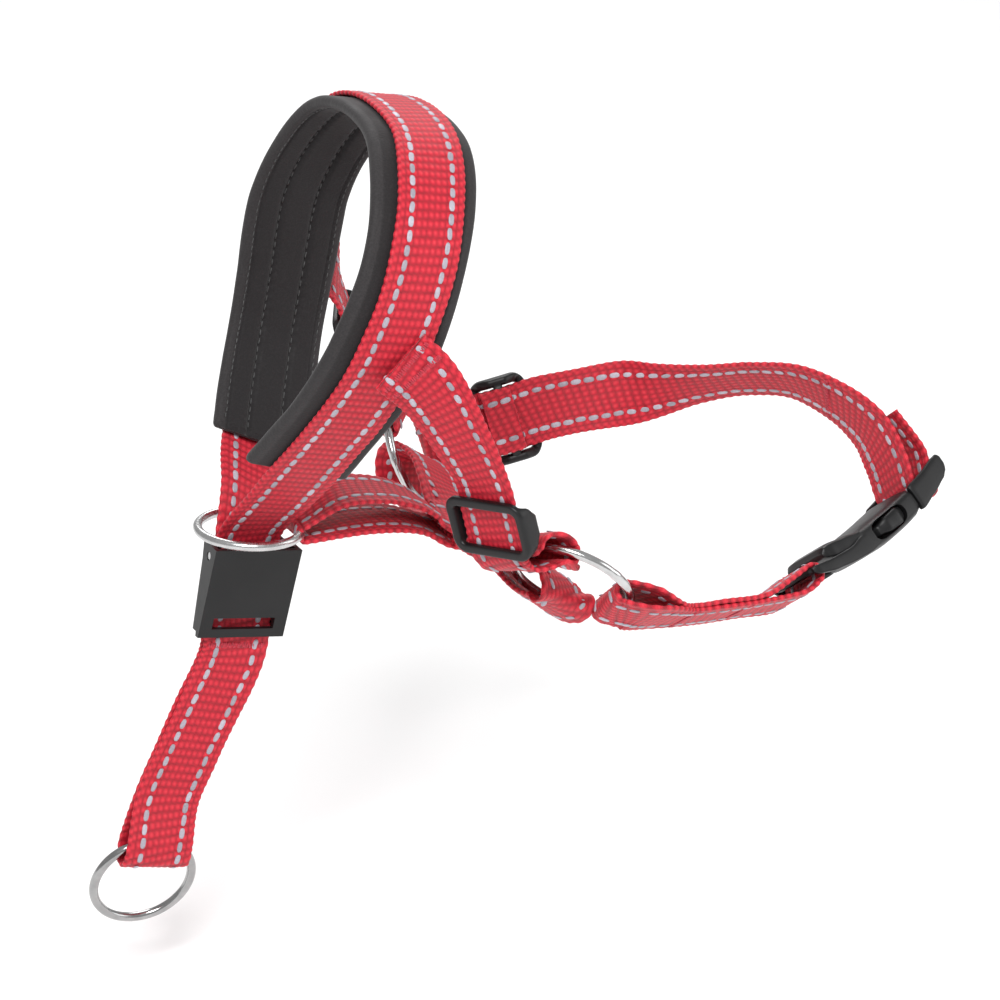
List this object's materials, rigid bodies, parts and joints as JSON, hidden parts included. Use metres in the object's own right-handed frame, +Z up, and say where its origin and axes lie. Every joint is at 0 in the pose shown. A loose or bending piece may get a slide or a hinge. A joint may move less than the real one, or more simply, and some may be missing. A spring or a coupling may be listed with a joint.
{
  "type": "dog head halter",
  "caption": "Head halter for a dog: red webbing with reflective stitching, padded nose loop with cam lock, chin, cheek and collar straps on four steel rings, side-release buckle.",
  "frame": {"origin": "middle of the muzzle opening in the nose loop", "axes": "-X the way the animal looks, -Y its left side, +Z up; the collar lies towards +X and the lead ring hangs towards -Z"},
  "size_m": [0.2605, 0.1374, 0.2437],
  "materials": {
    "webbing": "woven, with two rows of reflective thread",
    "neoprene": "matte, fabric-faced foam",
    "black_plastic": "fine matte moulding",
    "ring_steel": "polished nickel plate",
    "lead_ring_steel": "polished, darker plate",
    "pin_steel": "turned",
    "thread": "dense stitching"
  },
  "bodies": {
    "halter": {"nose_band": "webbing", "nose_pad": "neoprene", "cheek_strap_near": "webbing", "cheek_strap_far": "webbing", "chin_cross_strap": "webbing", "chin_stem_strap": "webbing", "neck_strap_long": "webbing", "neck_strap_short": "webbing", "buckle_socket": "black_plastic", "buckle_plug": "black_plastic", "bar_tacks": "thread"},
    "chin_ring": {"chin_ring": "ring_steel"},
    "lead_ring": {"lead_ring": "lead_ring_steel"},
    "side_ring_near": {"side_ring_near": "ring_steel"},
    "side_ring_far": {"side_ring_far": "ring_steel"},
    "lock": {"lock_body": "black_plastic", "lock_pin": "pin_steel"},
    "lock_lever": {"lock_lever": "black_plastic"},
    "slider_near": {"cheek_slider_near": "black_plastic", "slider_loop_near": "webbing"},
    "slider_far": {"cheek_slider_far": "black_plastic", "slider_loop_far": "webbing"},
    "slider_neck": {"neck_slider": "black_plastic", "slider_loop_neck": "webbing"},
    "prong_near": {"buckle_prong_near": "black_plastic"},
    "prong_far": {"buckle_prong_far": "black_plastic"}
  },
  "joints": [
    {"name": "lock_slide", "type": "slide", "parent": "halter", "child": "lock", "axis": [-0.1724, 0, -0.985], "range_m": [0, 0.006]},
    {"name": "lock_lever_hinge", "type": "hinge", "parent": "lock", "child": "lock_lever", "pos_m": [-0.03267, -0.0039, -0.07352], "axis": [-0.985, 0, 0.1724], "range_deg": [0, 12]},
    {"name": "lead_ring_swing", "type": "hinge", "parent": "halter", "child": "lead_ring", "pos_m": [-0.06367, 0, -0.16079], "axis": [0.9755, 0, -0.2201], "range_deg": [-54, 18]},
    {"name": "chin_ring_turn", "type": "hinge", "parent": "halter", "child": "chin_ring", "pos_m": [-0.0315, 0, -0.0668], "axis": [0.0698, 0, 0.9976], "continuous": true},
    {"name": "side_ring_near_turn", "type": "hinge", "parent": "halter", "child": "side_ring_near", "pos_m": [0.045, -0.051, -0.0775], "axis": [0.611, 0.4908, 0.6211], "continuous": true},
    {"name": "side_ring_far_turn", "type": "hinge", "parent": "halter", "child": "side_ring_far", "pos_m": [0.044, 0.05, -0.074], "axis": [0.6804, -0.6004, 0.4203], "continuous": true},
    {"name": "slider_near_slide", "type": "slide", "parent": "halter", "child": "slider_near", "axis": [0.2379, 0, -0.9713], "range_m": [-0.005, 0.002]},
    {"name": "slider_far_slide", "type": "slide", "parent": "halter", "child": "slider_far", "axis": [0.3011, 0, -0.9536], "range_m": [-0.002, 0.003]},
    {"name": "slider_neck_slide", "type": "slide", "parent": "halter", "child": "slider_neck", "axis": [0.9321, -0.2706, 0.2406], "range_m": [-0.003, 0.0015]},
    {"name": "prong_near_squeeze", "type": "hinge", "parent": "halter", "child": "prong_near", "pos_m": [0.1636, -0.04071, -0.07751], "axis": [0.3784, -0.5271, -0.7609], "range_deg": [0, 7]},
    {"name": "prong_far_squeeze", "type": "hinge", "parent": "halter", "child": "prong_far", "pos_m": [0.16132, -0.02741, -0.08785], "axis": [0.3784, -0.5271, -0.7609], "range_deg": [-7, 0]}
  ]
}
